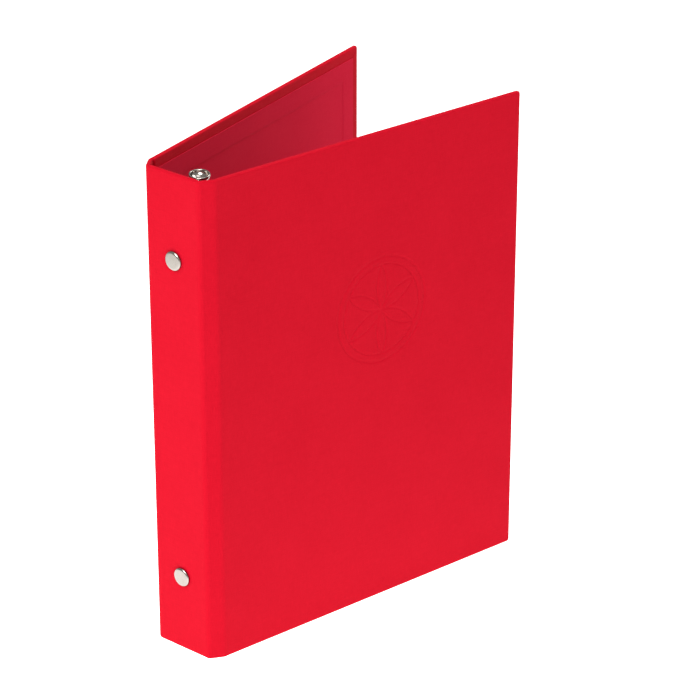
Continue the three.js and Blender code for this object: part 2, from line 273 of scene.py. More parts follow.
# ------------------------------------------------------------------ case: cloth
def edge_profile():
    """Inset, depth and length run from the flat face round a board's edge to the turn-in's end."""
    points = [(FACE_INSET, 0.0), (FACE_INSET / 2, 0.0)]
    for i in range(ARC_STEPS + 1):
        turn = math.pi / 2 * i / ARC_STEPS
        points.append((EDGE_RADIUS * (1 - math.sin(turn)), EDGE_RADIUS * (1 - math.cos(turn))))
    for i in range(ARC_STEPS + 1):
        turn = math.pi / 2 * i / ARC_STEPS
        points.append((
            EDGE_RADIUS * (1 - math.cos(turn)),
            CASE_THICKNESS - EDGE_RADIUS * (1 - math.sin(turn)),
        ))
    points += [(inset, CASE_THICKNESS) for inset in (TURN_FLAT, 5 * MM, 8 * MM, 11 * MM)]
    points.append((TURN_IN, CASE_THICKNESS))
    run = 0.0
    profile = []
    for i, (inset, depth) in enumerate(points):
        if i:
            run += math.hypot(inset - points[i - 1][0], depth - points[i - 1][1])
        profile.append((inset, depth, run))
    return profile


PROFILE = edge_profile()


def rosette(s, z):
    """Depth of the blind stamp on the front cover: two rings round a six-petalled compass rosette."""
    u = s - S_COVER - EMBLEM_CENTRE[0]
    v = z - EMBLEM_CENTRE[1]
    radius = math.hypot(u, v)
    if radius > EMBLEM_RADIUS + MM:
        return 0.0
    inner = 0.86 * EMBLEM_RADIUS
    strokes = [
        (abs(radius - EMBLEM_RADIUS), 0.6 * MM),
        (abs(radius - inner), 0.4 * MM),
    ]
    if radius < inner:
        for k in range(PETALS):
            turn = 2 * math.pi * (k + 0.5) / PETALS
            away = math.hypot(u - inner * math.cos(turn), v - inner * math.sin(turn))
            strokes.append((abs(away - inner), 0.45 * MM))
    return EMBLEM_DEPTH * max(smooth(1.5 - distance / width) for distance, width in strokes)


def dimple(s, z):
    """How far the cloth is drawn in round the rivet heads."""
    away = min(math.hypot(s, z - height) for height in RIVET_HEIGHTS) - RIVET_RADIUS
    return DIMPLE_DEPTH * math.exp(-(max(away, 0) / DIMPLE_REACH) ** 2)


def strip_rows(rows):
    """Stations of a full section: turn-in, bottom edge, outer face, top edge, turn-in."""
    bottom = [(inset, depth, FACE_INSET - run) for inset, depth, run in reversed(PROFILE)]
    face = [(z, 0.0, z) for z in rows[1:-1]]
    top = [(HEIGHT - inset, depth, HEIGHT - FACE_INSET + run) for inset, depth, run in PROFILE]
    return bottom + face + top


def cloth_strip(name, columns, rows, side, relief=None):
    """Cloth with turned-in ends at top and bottom and open sides."""
    verts, flat = [], []
    section = strip_rows(rows)
    for s in columns:
        scale = slab(s) / CASE_THICKNESS
        for z, depth, along in section:
            pressed = relief(s, z) if relief and depth == 0.0 else 0.0
            verts.append(place(s, depth * scale + pressed, z, side))
            flat.append((side * s, along, depth))
    faces = grid_faces(len(columns), len(section), flip=side > 0)
    return make_object(name, verts, faces, flat)


def stretched(values, start, end, hold):
    """Stations whose last stretches are drawn out to new ends, the middle left alone."""
    out = []
    for value in values:
        if value < values[0] + hold and start is not None:
            share = (values[0] + hold - value) / hold
            out.append(values[0] + hold - share * (values[0] + hold - start))
        elif value > values[-1] - hold:
            share = (value - values[-1] + hold) / hold
            out.append(values[-1] - hold + share * (end - values[-1] + hold))
        else:
            out.append(value)
    return out


def cloth_cover(name, columns, rows, side, relief=None):
    """Cloth of a cover, turned in at the bottom, the fore edge and the top."""
    verts, flat = [], []

    def add(s, depth, z, along_s, along_z):
        verts.append(place(s, depth * slab(s) / CASE_THICKNESS, z, side))
        flat.append((side * along_s, along_z, depth))
        return len(verts) - 1

    face = []
    for s in columns:
        for z in rows:
            pressed = relief(s, z) if relief else 0.0
            face.append(add(s, pressed, z, s, z))
    across = len(rows)
    faces = [tuple(face[i] for i in quad) for quad in grid_faces(len(columns), across)]

    arc = CORNER_STEPS
    bottom = [face[i * across] for i in range(len(columns) - 1)]
    fore = [face[(len(columns) - 1) * across + j] for j in range(across)]
    top = [face[i * across + across - 1] for i in reversed(range(len(columns) - 1))]
    path = bottom + [fore[0]] * (arc + 1) + fore[1:-1] + [fore[-1]] * (arc + 1) + top
    for inset, depth, run in PROFILE[1:]:
        radius = max(CORNER_RADIUS - inset, 0.0)
        corner = depth - (MITRE_DEPTH if inset >= TURN_FLAT and depth == CASE_THICKNESS else 0.0)
        reach = S_FORE - inset - radius
        run_s = stretched(columns, None, reach, FORE_RUN)
        run_z = stretched(rows, inset + radius, HEIGHT - inset - radius, FORE_RUN)
        low_z = FACE_INSET - run
        high_z = HEIGHT - FACE_INSET + run
        far_s = S_FORE - FACE_INSET + run
        ring = [add(s, depth, inset, s, low_z) for s in run_s[:-1]]
        for i in range(arc + 1):
            turn = math.pi / 2 * (i / arc - 1)
            s = reach + radius * math.cos(turn)
            z = inset + radius + radius * math.sin(turn)
            mix = i / arc
            ring.append(add(s, corner, z, s + mix * (far_s - s), low_z + mix * (z - low_z)))
        ring += [add(S_FORE - inset, depth, z, far_s, z) for z in run_z[1:-1]]
        for i in range(arc + 1):
            turn = math.pi / 2 * i / arc
            s = reach + radius * math.cos(turn)
            z = HEIGHT - inset - radius + radius * math.sin(turn)
            mix = i / arc
            ring.append(add(s, corner, z, far_s + mix * (s - far_s), z + mix * (high_z - z)))
        ring += [add(s, depth, HEIGHT - inset, s, high_z) for s in reversed(run_s[:-1])]
        for i in range(len(path) - 1):
            faces.append((path[i], path[i + 1], ring[i + 1], ring[i]))
        path = ring
    faces = [tuple(dict.fromkeys(quad)) for quad in faces]
    faces = [quad[::-1] if side > 0 else quad for quad in faces if len(quad) > 2]
    obj = make_object(name, verts, faces, flat)
    clean(obj)
    return obj


# ------------------------------------------------------------------ case: lining
def lining_depth(s, z):
    """The lining's inner face: proud of the turned-in cloth, and lower where it lies on the board."""
    edge = min(z, HEIGHT - z, S_FORE - abs(s))
    on_board = smooth((edge - TURN_IN + 0.6 * MM) / (1.2 * MM))
    return slab(s) + LINER_RISE - LINER_DROP * on_board


def lining_sheet(name, columns, rows, side):
    """A piece of the lining, with its thickness behind its face."""
    verts = [place(s, lining_depth(s, z), z, side) for s in columns for z in rows]
    flat = [(side * s, z, CASE_THICKNESS) for s in columns for z in rows]
    faces = grid_faces(len(columns), len(rows), flip=side < 0)
    obj = make_object(name, verts, faces, flat)
    thicken(obj, LINER)
    return obj


def case_stations():
    """Stations along s over a spine corner, and over the crease where a cover starts."""
    tangent = SPINE_RADIUS * math.tan(SPINE_BEND / 2)
    bend_start = S_CREASE - tangent - 0.9 * MM
    bend_end = S_CREASE + tangent + FINE
    corner = joined(
        steps(SEAM_ON_SPINE, bend_start, 0.9 * MM),
        steps(bend_start, bend_end, FINE),
        steps(bend_end, S_STRIP, 0.5 * MM),
    )
    bend_start = S_COVER - COVER_RADIUS * math.tan(COVER_BEND / 2) - FINE
    crease = joined(
        steps(S_STRIP, bend_start, 0.5 * MM),
        steps(bend_start, S_COVER + BOARD_SETBACK + FINE, FINE),
    )
    return corner, crease


CORNER_COLUMNS, CREASE_COLUMNS = case_stations()
FACE_END = HEIGHT - FACE_INSET


def cover_columns(side):
    """Stations along s over a cover's flat face, close together under the stamp of the front one."""
    end = S_FORE - FACE_INSET
    last = joined(
        steps(end - FORE_RUN, end - MITRE_STATIONS[-1], 6 * MM),
        [end - reach for reach in reversed(MITRE_STATIONS)],
    )
    start = CREASE_COLUMNS[-1]
    if side < 0:
        return joined(CREASE_COLUMNS, steps(start, end - FORE_RUN, GRID), last)
    middle = S_COVER + EMBLEM_CENTRE[0]
    return joined(
        CREASE_COLUMNS,
        steps(start, middle - STAMP_REACH, GRID),
        steps(middle - STAMP_REACH, middle + STAMP_REACH, STAMP_GRID),
        steps(middle + STAMP_REACH, end - FORE_RUN, GRID),
        last,
    )


def face_rows(side):
    """Stations up the flat face, close together at the mitres and where the stamp is pressed in."""
    first = [FACE_INSET + reach for reach in MITRE_STATIONS]
    last = [FACE_END - reach for reach in reversed(MITRE_STATIONS)]
    middle = EMBLEM_CENTRE[1]
    stamp = steps(middle - STAMP_REACH, middle + STAMP_REACH, STAMP_GRID) if side > 0 else [middle]
    return joined(
        first, steps(first[-1], stamp[0], GRID), stamp, steps(stamp[-1], last[0], GRID), last,
    )


def spine_rows():
    """Stations up the spine, close together round the rivets."""
    rows = [FACE_INSET]
    for middle in sorted(RIVET_HEIGHTS):
        rows = joined(rows, steps(rows[-1], middle - RIVET_REACH, GRID))
        rows = joined(rows, steps(middle - RIVET_REACH, middle + RIVET_REACH, RIVET_GRID))
    return joined(rows, steps(rows[-1], FACE_END, GRID))


def lining_rows():
    """Stations up the lining, close together over the ends of the turned-in cloth."""
    near = [LINER_INSET, 8 * MM, 12 * MM] + steps(TURN_IN - 0.8 * MM, TURN_IN + 0.8 * MM, FINE)
    far = [HEIGHT - z for z in reversed(near)]
    return joined(near, steps(near[-1], far[0], GRID), far)


def lining_columns():
    """Stations along s over a cover's lining."""
    near = [S_FORE - inset for inset in (
        TURN_IN + 0.8 * MM, TURN_IN + 0.4 * MM, TURN_IN, TURN_IN - 0.4 * MM, TURN_IN - 0.8 * MM,
        11 * MM, 8 * MM, LINER_INSET,
    )]
    return joined(CREASE_COLUMNS, steps(CREASE_COLUMNS[-1], near[0], GRID), near)


def crease_blend(obj):
    """Bakes the piece's placement into its mesh."""
    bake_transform(obj)


def build_case(cloth, lining):
    """Every piece of cloth and lining, the spine's pieces on the spine's body."""

    middle = steps(-SEAM_ON_SPINE, SEAM_ON_SPINE, 0.6 * MM)
    wrap = cloth_strip("spine_wrap", middle, spine_rows(), 1, dimple)
    thicken(wrap, CLOTH)
    finish_piece(wrap, cloth, "spine", ("spine_cloth",))
    middle = steps(-SEAM_ON_SPINE, SEAM_ON_SPINE, 3 * MM)
    inner = lining_sheet("spine_liner", middle, lining_rows(), 1)
    finish_piece(inner, lining, "spine", ("spine_lining",))

    for name, side in SIDES.items():
        corner = cloth_strip(f"{name}_corner_wrap", CORNER_COLUMNS, face_rows(-1), side)
        thicken(corner, CLOTH)
        finish_piece(corner, cloth, None, (f"{name}_hinge_cloth",))
        crease_blend(corner)

        columns = cover_columns(side)
        relief = rosette if side > 0 else None
        cover = cloth_cover(f"{name}_cover_wrap", columns, face_rows(side), side, relief)
        thicken(cover, CLOTH)
        finish_piece(cover, cloth, None, (f"{name}_cloth",))
        crease_blend(cover)

        corner = lining_sheet(f"{name}_corner_liner", CORNER_COLUMNS, lining_rows(), side)
        finish_piece(corner, lining, None, (f"{name}_hinge_lining",))
        crease_blend(corner)

        columns = lining_columns()
        cover = lining_sheet(f"{name}_cover_liner", columns, lining_rows(), side)
        finish_piece(cover, lining, None, (f"{name}_lining",))
        crease_blend(cover)


def finish_piece(obj, material, body, nodes=()):
    """Shading, material, the nodes it stands for, and the body that it rides on."""
    shade(obj)
    obj.data.materials.clear()
    obj.data.materials.append(material)
    if nodes:
        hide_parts(*nodes)
    if body:
        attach(obj, body)


# ------------------------------------------------------------------ ring mechanism
# Its own frame: across, up from the lining, and along from its middle.
HOUSING_LOW, HOUSING_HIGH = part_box("ring_housing")
METAL_CENTRE = (HOUSING_LOW.z + HOUSING_HIGH.z) / 2
HOUSING_LENGTH = HOUSING_HIGH.z - HOUSING_LOW.z
HOUSING_HALF = HOUSING_HIGH.x
HOUSING_TOP = HOUSING_HIGH.y - LINING_Y
HOUSING_SHOULDER = 3.4 * MM
HOUSING_SHEET = 0.7 * MM
HOUSING_FOOT = -0.18 * MM
HOOK_REACH = 2.4 * MM
HOOK_TIP = 2.1 * MM
HOOK_BEND = 0.75 * MM
HOUSING_STEP = 2.5 * MM
SLOT_INNER = 4.6 * MM
SLOT_FOOT = 2.9 * MM
SLOT_HALF = 1.85 * MM
PIVOT_HOLE = 1.0 * MM                      # radius
REACH = 20 * MM                            # past everything, for cutters

WIRE_RADIUS = 1.25 * MM
RING_RADIUS = 10.75 * MM
RING_CENTRE_UP = 12 * MM
RING_GAP = 0.3 * MM
RING_LAP = 0.5 * MM                        # how far each half of a tip reaches past the middle
LAP_RUN = 1.4 * MM                         # over which a tip's step fades out along the wire
TIP_CHAMFER = 0.15 * MM
RING_PLACES = ("top", "middle", "bottom")
RING_FOOT_ANGLE = math.radians(-60)

PIVOT_UP = JOINTS["top_lever_pivot"]["pos_m"][1] - LINING_Y
LEVER_PIVOT = JOINTS["top_lever_pivot"]["pos_m"][2] - METAL_CENTRE
LEVER_WIDTH = 10 * MM
TIP_WIDTH = 6.6 * MM
LEVER_SHEET = 0.9 * MM
HUB_END = LEVER_PIVOT + 4 * MM             # where the plate starts to rise and to narrow
TONGUE_HALF = 1.2 * MM
TONGUE_SHEET = 0.7 * MM
BARS = ((1.1 * MM, 7.2 * MM), (0.7 * MM, 9 * MM))  # hub and trunnions: radius and half length
BAR_CHAMFER = 0.2 * MM
CUP_RADIUS = 4.15 * MM
CUP_DEPTH = 3.4 * MM
CUP_WALL = 0.7 * MM
CUP_SPREAD = 1.22                          # the cup's width over its length
CUP_OUT = 110.4 * MM
CUP_UP = 14.3 * MM
CUP_TILT = math.radians(8)
SHOULDER_WIDTH = 1.5 * MM                  # of the rounded rim of a rivet head
DOME_FALL = 0.15 * MM
HEAD_RIM = 0.3 * MM                        # of the head's widest place above the spine
HEAD_UNDER = 0.16 * MM                     # of its underside below the spine's outer face
RIVET_SHANK = 1.8 * MM
RIVET_BORE = 1.2 * MM


def metal_point(across, up, along):
    """A place in the mechanism's own frame."""
    return Vector((across, LINING_Y + up, METAL_CENTRE + along))


def rounded(points, radius, count=6):
    """An open path with its inner corners rounded."""
    out = [Vector(points[0])]
    for before, corner, after in zip(points, points[1:], points[2:]):
        corner = Vector(corner)
        back = (Vector(before) - corner).normalized()
        on = (Vector(after) - corner).normalized()
        half = back.angle(on) / 2
        if half > math.radians(89):
            out.append(corner)
            continue
        centre = corner + (back + on).normalized() * radius / math.sin(half)
        first = corner + back * radius / math.tan(half) - centre
        last = corner + on * radius / math.tan(half) - centre
        turn = first.angle_signed(last)
        for i in range(count + 1):
            angle = -turn * i / count
            c, s = math.cos(angle), math.sin(angle)
            out.append(centre + Vector((c * first.x - s * first.y, s * first.x + c * first.y)))
    return out + [Vector(points[-1])]


def ribbon(path, sheet):
    """The closed outline of a strip of sheet on a path."""
    sides = ([], [])
    for i, point in enumerate(path):
        along = (path[min(i + 1, len(path) - 1)] - path[max(i - 1, 0)]).normalized()
        normal = Vector((-along.y, along.x))
        sides[0].append(point + normal * sheet / 2)
        sides[1].append(point - normal * sheet / 2)
    return sides[0] + sides[1][::-1]


def extruded(name, outline, along, stations):
    """A closed outline extruded. along turns an outline point and a station into a place."""
    verts = [along(p, t) for t in stations for p in outline]
    n = len(outline)
    faces = []
    for first in range(0, n * (len(stations) - 1), n):
        faces += [
            (first + i, first + (i + 1) % n, first + n + (i + 1) % n, first + n + i)
            for i in range(n)
        ]
    faces += [tuple(reversed(range(n))), tuple(range(len(verts) - n, len(verts)))]
    obj = make_object(name, verts, faces)
    face_out(obj)
    return obj


def face_out(obj):
    """Turns a closed mesh's faces outwards."""
    bm = bmesh.new()
    bm.from_mesh(obj.data)
    bmesh.ops.recalc_face_normals(bm, faces=bm.faces)
    bm.to_mesh(obj.data)
    bm.free()


def lathe(name, profile, put, sides=56):
    """A closed (radius, height) profile turned round; put places (across, other, height)."""
    verts, faces = [], []
    for radius, height in profile:
        for i in range(sides):
            turn = 2 * math.pi * i / sides
            verts.append(put(radius * math.cos(turn), radius * math.sin(turn), height))
    n = len(profile)
    for r in range(n - 1):
        for i in range(sides):
            j = (i + 1) % sides
            faces.append((r * sides + i, r * sides + j, (r + 1) * sides + j, (r + 1) * sides + i))
    obj = make_object(name, verts, faces)
    clean(obj)
    face_out(obj)
    return obj


def cut_box(low, high):
    """A cutter with straight sides, between two corners."""
    corners = [(x, y, z) for x in (low.x, high.x) for y in (low.y, high.y) for z in (low.z, high.z)]
    faces = [(0, 1, 3, 2), (4, 6, 7, 5), (0, 4, 5, 1), (2, 3, 7, 6), (0, 2, 6, 4), (1, 5, 7, 3)]
    obj = make_object("cutter", corners, faces)
    face_out(obj)
    return obj


def combine(obj, others, operation):
    """Adds or cuts the other solids, which are used up."""
    for other in others:
        modifier = obj.modifiers.new("solid", "BOOLEAN")
        modifier.operation = operation
        modifier.solver = "EXACT"
        modifier.object = other
    settle(obj)
    for other in others:
        bpy.data.objects.remove(other)


def arc_points(radius, start, end, count, centre=(0, 0)):
    """Points along an arc, both ends included."""
    out = []
    for i in range(count + 1):
        turn = start + (end - start) * i / count
        out.append((centre[0] + radius * math.cos(turn), centre[1] + radius * math.sin(turn)))
    return out


def build_housing(material):
    """The arched cover of the mechanism: curled lower edges, ring slots and pivot holes."""
    half = HOUSING_HALF - HOUSING_SHEET / 2
    foot = HOUSING_FOOT + HOUSING_SHEET / 2
    rise = HOUSING_TOP - HOUSING_SHEET / 2 - HOUSING_SHOULDER
    tip = half - HOOK_REACH
    hook = [(tip, HOOK_TIP), (tip, foot), (half, foot), (half, HOUSING_SHOULDER)]
    right = rounded(hook, HOOK_BEND)
    count = 40
    turns = [math.pi * i / count for i in range(1, count)]
    arch = [Vector((half * math.cos(t), HOUSING_SHOULDER + rise * math.sin(t))) for t in turns]
    left = [Vector((-p.x, p.y)) for p in reversed(right)]
    outline = ribbon(right + arch + left, HOUSING_SHEET)
    end = HOUSING_LENGTH / 2
    shell = extruded(
        "housing_shell", outline, lambda p, t: metal_point(p.x, p.y, t), steps(-end, end, HOUSING_STEP),
    )

    cutters = []
    for place_name in RING_PLACES:
        low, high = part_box(f"front_ring_{place_name}")
        z = (low.z + high.z) / 2 - METAL_CENTRE
        for side in SIDES.values():
            inner, outer = sorted((side * SLOT_INNER, side * REACH))
            cutters.append(cut_box(
                metal_point(inner, SLOT_FOOT, z - SLOT_HALF), metal_point(outer, REACH, z + SLOT_HALF),
            ))
    hole = [(0, -REACH), (PIVOT_HOLE, -REACH), (PIVOT_HOLE, REACH), (0, REACH)]
    for end in ENDS.values():
        cutters.append(lathe(
            "cutter", hole,
            lambda a, b, h, end=end: metal_point(h, PIVOT_UP + a, end * LEVER_PIVOT + b), 24,
        ))
    combine(shell, cutters, "DIFFERENCE")
    bevel(shell, 0.1 * MM)
    finish_piece(shell, material, "spine", ("ring_housing",))


def half_ring(name, side, middle):
    """A bent wire whose tip is cut in two steps, one on each side of the ring's plane."""
    sides = 24
    count = 44
    sweep = math.pi / 2 - RING_FOOT_ANGLE
    levels = [(0.0, 0.9), (TIP_CHAMFER, 1.0), (LAP_RUN, 1.0)]
    for i in range(1, count + 1):
        levels.append((RING_RADIUS * sweep * i / count + LAP_RUN * (1 - i / count), 1.0))
    verts = []
    for run, fullness in levels:
        lapping = 1.0 if run <= TIP_CHAMFER else max(0.0, 1 - run / LAP_RUN)
        for k in range(sides):
            turn = 2 * math.pi * (k + 0.5) / sides
            out = WIRE_RADIUS * fullness * math.cos(turn)
            off = WIRE_RADIUS * fullness * math.sin(turn)
            lap = side * RING_LAP * math.copysign(1, off) * lapping
            angle = math.pi / 2 + (lap - RING_GAP / 2 - run) / RING_RADIUS
            across = (RING_RADIUS + out) * math.cos(angle)
            up = RING_CENTRE_UP + (RING_RADIUS + out) * math.sin(angle)
            verts.append(metal_point(side * across, up, middle + off))
    faces = []
    for first in range(0, sides * (len(levels) - 1), sides):
        for k in range(sides):
            j = (k + 1) % sides
            faces.append((first + k, first + j, first + sides + j, first + sides + k))
    half = sides // 2
    last = (len(levels) - 1) * sides
    faces += [tuple(range(half)), tuple(range(half, sides)), (0, half - 1, half, sides - 1)]
    faces.append(tuple(range(last, last + sides)))
    ring = make_object(name, verts, faces)
    face_out(ring)
    return ring


def build_rings(material):
    """Six half rings of wire, their tips lapped in two steps, their feet in the blades."""
    for name, side in SIDES.items():
        for place_name in RING_PLACES:
            low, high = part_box(f"{name}_ring_{place_name}")
            middle = (low.z + high.z) / 2 - METAL_CENTRE
            ring = half_ring(f"{name}_wire_{place_name}", side, middle)
            finish_piece(ring, material, f"{name}_blade", (f"{name}_ring_{place_name}",))


def lever_solid(name):
    """The top lever: tongue, hub and trunnions, a plate that rises to the tip, and the finger cup."""
    def across_x(p, t):
        return metal_point(t, p.x, p.y)

    arm = rounded([
        (PIVOT_UP, LEVER_PIVOT - 1 * MM), (PIVOT_UP + 0.2 * MM, HUB_END),
        (5.2 * MM, LEVER_PIVOT + 11 * MM), (CUP_UP - CUP_RADIUS + 0.5 * MM, CUP_OUT - 0.8 * MM),
    ], 7 * MM, 8)
    tongue = rounded([
        (0.9 * MM, LEVER_PIVOT - 6 * MM), (0.9 * MM, LEVER_PIVOT - 2 * MM), (PIVOT_UP, LEVER_PIVOT),
    ], 1.5 * MM, 5)
    body = extruded(name, ribbon(arm, LEVER_SHEET), across_x, (-LEVER_WIDTH / 2, LEVER_WIDTH / 2))
    bevel(body, 0.9 * MM, 4, 60)
    for vertex in body.data.vertices:
        rise = (vertex.co.z - METAL_CENTRE - HUB_END) / (CUP_OUT - HUB_END)
        vertex.co.x *= 1 - (1 - TIP_WIDTH / LEVER_WIDTH) * smooth(rise)
    parts = [extruded("part", ribbon(tongue, TONGUE_SHEET), across_x, (-TONGUE_HALF, TONGUE_HALF))]
    for radius, reach in BARS:
        bar = [(0, -reach), (radius * 0.8, -reach), (radius, -reach + BAR_CHAMFER)]
        bar += [(radius, reach - BAR_CHAMFER), (radius * 0.8, reach), (0, reach)]
        parts.append(lathe(
            "part", bar, lambda a, b, h: metal_point(h, PIVOT_UP + a, LEVER_PIVOT + b), 32,
        ))
    lip = CUP_WALL / 2
    turns = [math.pi / 2 * i / 12 for i in range(12)]
    outer = [(CUP_RADIUS * math.sin(t), -CUP_DEPTH * math.cos(t)) for t in turns]
    rim = arc_points(lip, 0, math.pi, 6, (CUP_RADIUS - lip, 0))
    inner = [
        ((CUP_RADIUS - CUP_WALL) * math.sin(t), -(CUP_DEPTH - CUP_WALL) * math.cos(t))
        for t in reversed(turns)
    ]

    def in_cup(a, b, h):
        up = CUP_UP + b * math.cos(CUP_TILT) - h * math.sin(CUP_TILT)
        out = CUP_OUT + h * math.cos(CUP_TILT) + b * math.sin(CUP_TILT)
        return metal_point(CUP_SPREAD * a, up, out)

    parts.append(lathe("part", outer + rim + inner, in_cup))
    combine(body, parts, "UNION")
    clean(body, 0.01 * MM)
    return body


def turn_end_for_end(obj):
    """Mirrors a solid about the middle of the mechanism."""
    obj.data.transform(Matrix.Translation((0, 0, 2 * METAL_CENTRE)) @ Matrix.Diagonal((1, 1, -1, 1)))
    obj.data.flip_normals()


def build_levers(material):
    """The opening levers, alike but for the end they are at."""
    for name, end in ENDS.items():
        lever = lever_solid(f"{name}_trigger")
        if end < 0:
            turn_end_for_end(lever)
        finish_piece(lever, material, f"{name}_lever", (f"{name}_lever",))


def build_rivets(material):
    """Domed heads on the spine with a turned rim, hollow shanks, and flared ends on the housing."""
    for name in ENDS:
        low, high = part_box(f"{name}_rivet")
        radius = (high.x - low.x) / 2
        z = (low.z + high.z) / 2
        head_top = low.y - OUTER_Y
        dome = [
            (radius * share, head_top + DOME_FALL * share ** 2) for share in (0, 0.2, 0.4, 0.6)
        ]
        flat = radius - SHOULDER_WIDTH
        drop = -HEAD_RIM - dome[-1][1]
        shoulder = [
            (flat + SHOULDER_WIDTH * math.sin(turn), -HEAD_RIM - drop * math.cos(turn))
            for turn in (math.pi / 2 * i / 10 for i in range(11))
        ]
        edge = arc_points(0.2 * MM, 0, math.radians(70), 4, (radius - 0.2 * MM, -0.25 * MM))
        crown = HOUSING_TOP + LINING_Y - OUTER_Y
        flare = [
            (3.0 * MM, crown - 0.25 * MM), (3.1 * MM, crown), (2.9 * MM, crown + 0.35 * MM),
            (2.4 * MM, crown + 0.6 * MM), (1.8 * MM, crown + 0.55 * MM), (1.35 * MM, crown + 0.2 * MM),
        ]
        profile = dome + shoulder + edge + [
            (radius - 0.5 * MM, HEAD_UNDER), (RIVET_SHANK, HEAD_UNDER), (RIVET_SHANK, crown - 0.3 * MM),
            *flare, (RIVET_BORE, crown - 0.5 * MM), (RIVET_BORE, 1.8 * MM), (0, 1.8 * MM),
        ]
        rivet = lathe(
            f"{name}_rivet_turned", profile,
            lambda a, b, h, z=z: Vector((a, OUTER_Y + h, z + b)), 64,
        )
        finish_piece(rivet, material, "spine", (f"{name}_rivet",))


# ------------------------------------------------------------------ materials
def add(tree, kind, settings=None, **inputs):
    """A node with its settings and its inputs, each a value or another node's output."""
    node = tree.nodes.new(kind)
    for key, value in (settings or {}).items():
        setattr(node, key, value)
    for key, value in inputs.items():
        socket = node.inputs[int(key[1:]) if key[1:].isdigit() else key.replace("_", " ")]
        if isinstance(value, bpy.types.NodeSocket):
            tree.links.new(value, socket)
        else:
            socket.default_value = value
    return node


def calc(tree, operation, a, b=0.0, c=0.0):
    return add(tree, "ShaderNodeMath", {"operation": operation}, i0=a, i1=b, i2=c).outputs[0]


def scaled(tree, vector, scale):
    node = add(tree, "ShaderNodeVectorMath", {"operation": "MULTIPLY"}, i0=vector, i1=scale)
    return node.outputs[0]


def noise(tree, vector, scale, detail=2.0, rough=0.5):
    node = add(tree, "ShaderNodeTexNoise", Vector=vector, Scale=scale, Detail=detail, Roughness=rough)
    return node.outputs["Fac"]


def between(tree, factor, low, high):
    """A value from low to high as the factor goes from 0 to 1."""
    node = add(tree, "ShaderNodeMapRange", Value=factor, To_Min=low, To_Max=high)
    return node.outputs["Result"]


def tinted(tree, factor, low, high):
    """A colour from low to high as the factor goes from 0 to 1."""
    node = tree.nodes.new("ShaderNodeMix")
    node.data_type = "RGBA"
    tree.links.new(factor, node.inputs["Factor"])
    node.inputs["A"].default_value = (*low, 1)
    node.inputs["B"].default_value = (*high, 1)
    return node.outputs["Result"]


def new_material(name, **settings):
    material = bpy.data.materials.new(name)
    material.use_nodes = True
    shader = material.node_tree.nodes["Principled BSDF"]
    for key, value in settings.items():
        shader.inputs[key.replace("_", " ")].default_value = value
    return material, material.node_tree, shader


def bumped(tree, shader, height, distance, strength=1.0):
    node = add(tree, "ShaderNodeBump", Height=height, Distance=distance, Strength=strength)
    tree.links.new(node.outputs["Normal"], shader.inputs["Normal"])


def woven(name, pitch, low, high, roughness, depth):
    """Book cloth: two sets of uneven threads along s and z, with slubs and a faint mottle."""
    material, tree, shader = new_material(name)
    shader.inputs["IOR"].default_value = 1.1
    where = add(tree, "ShaderNodeAttribute", {"attribute_name": "weave"}).outputs["Vector"]
    threads = scaled(tree, where, (1 / pitch,) * 3)
    warp = noise(tree, scaled(tree, threads, (1.0, 0.12, 0.3)), 1.15, 1.0)
    weft = noise(tree, scaled(tree, threads, (0.10, 1.0, 0.3)), 1.15, 1.0)
    slub_up = noise(tree, scaled(tree, threads, (0.6, 0.03, 0.1)), 1.0, 2.0)
    slub_across = noise(tree, scaled(tree, threads, (0.025, 0.6, 0.1)), 1.0, 2.0)
    over = calc(tree, "MAXIMUM", warp, weft)
    slubs = calc(tree, "ADD", slub_up, slub_across)
    height = calc(tree, "MULTIPLY_ADD", slubs, 0.25, over)
    mottle = noise(tree, where, 38.0, 3.0)
    tone = calc(tree, "MULTIPLY_ADD", height, 1.1, -0.44)
    tone = calc(tree, "MULTIPLY_ADD", calc(tree, "SUBTRACT", mottle, 0.5), 0.3, tone)
    tone = add(tree, "ShaderNodeClamp", Value=tone).outputs[0]
    tree.links.new(tinted(tree, tone, low, high), shader.inputs["Base Color"])
    tree.links.new(between(tree, tone, *roughness), shader.inputs["Roughness"])
    bumped(tree, shader, height, depth)
    return material


def fibrous(name, low, high):
    """Greyboard: matted fibres and dark flecks."""
    material, tree, shader = new_material(name)
    shader.inputs["Specular IOR Level"].default_value = 0.2
    where = add(tree, "ShaderNodeTexCoord").outputs["Object"]
    fibres = noise(tree, scaled(tree, where, (1.0, 1.0, 0.25)), 2400.0, 4.0, 0.7)
    tree.links.new(tinted(tree, fibres, low, high), shader.inputs["Base Color"])
    tree.links.new(between(tree, fibres, 0.8, 0.98), shader.inputs["Roughness"])
    bumped(tree, shader, fibres, 0.08 * MM)
    return material


def plated(name, low, high, roughness, grain):
    """Plated or rolled metal: clouded tone, fine scratches along the mechanism, handling marks."""
    material, tree, shader = new_material(name, Metallic=1.0)
    where = add(tree, "ShaderNodeTexCoord").outputs["Object"]
    scratches = noise(tree, scaled(tree, where, (1.0, 1.0, 0.04)), grain, 3.0, 0.65)
    cloud = noise(tree, where, 160.0, 2.0)
    marks = noise(tree, scaled(tree, where, (0.2, 1.0, 1.0)), 1500.0, 2.0, 0.6)
    tree.links.new(tinted(tree, cloud, low, high), shader.inputs["Base Color"])
    wear = calc(tree, "ADD", scratches, marks)
    worn = calc(tree, "MULTIPLY_ADD", wear, 0.3, calc(tree, "MULTIPLY", cloud, 0.4))
    tree.links.new(between(tree, worn, *roughness), shader.inputs["Roughness"])
    bumped(tree, shader, scratches, 0.01 * MM, 0.5)
    return material


